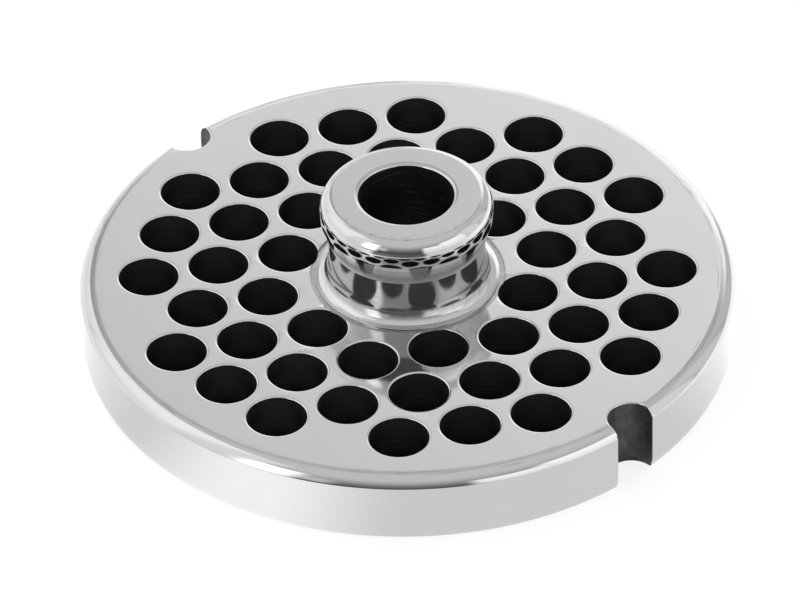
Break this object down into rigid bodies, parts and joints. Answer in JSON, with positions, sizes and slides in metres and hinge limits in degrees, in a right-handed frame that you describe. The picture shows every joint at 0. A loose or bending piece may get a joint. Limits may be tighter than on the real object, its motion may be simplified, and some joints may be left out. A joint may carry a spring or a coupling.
{
  "type": "meat grinder plate",
  "caption": "Round steel grinder plate with a hexagonal field of drilled feed holes, a turned hub with a flanged head and a through bore, and two round-ended notches in its rim.",
  "frame": {"origin": "on the bore axis, at the plate's flat underside, which it rests on", "axes": "+Z along the bore axis towards the hub's top; the rows of feed holes run along X, and the two notches in the rim lie close to the X axis"},
  "size_m": [0.0988, 0.099, 0.0262],
  "materials": {
    "polished_steel": "mirror polished, neutral grey"
  },
  "bodies": {
    "root": {"grinder_plate": "polished_steel"}
  },
  "joints": []
}
